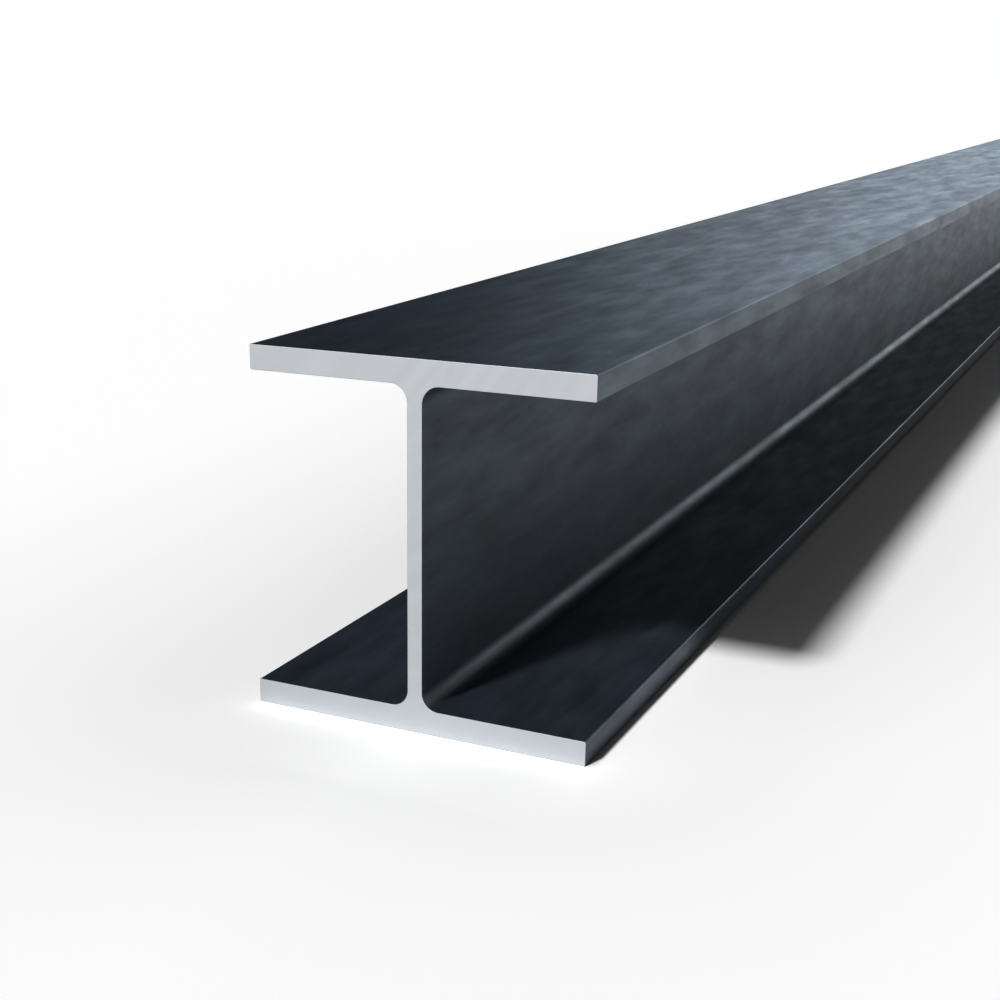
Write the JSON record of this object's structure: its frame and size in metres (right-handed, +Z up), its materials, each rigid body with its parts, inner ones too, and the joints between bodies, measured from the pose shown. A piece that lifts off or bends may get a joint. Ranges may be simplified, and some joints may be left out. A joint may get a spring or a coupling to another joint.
{
  "type": "steel i-beam",
  "caption": "Straight bar of hot-rolled wide-flange steel section: parallel flanges joined by a central web with filleted roots, square sawn ends and dark mill scale.",
  "frame": {"origin": "on the underside of the lower flange, halfway across its width and halfway along the bar", "axes": "+X across the flanges, +Y along the bar, +Z up through the web from the lower flange to the upper one"},
  "size_m": [0.3092, 6, 0.3205],
  "materials": {
    "mill_scale_steel": "satin blue-black mill scale on the rolled faces, bright sawn steel on the two end faces"
  },
  "bodies": {
    "root": {"beam": "mill_scale_steel"}
  },
  "joints": []
}
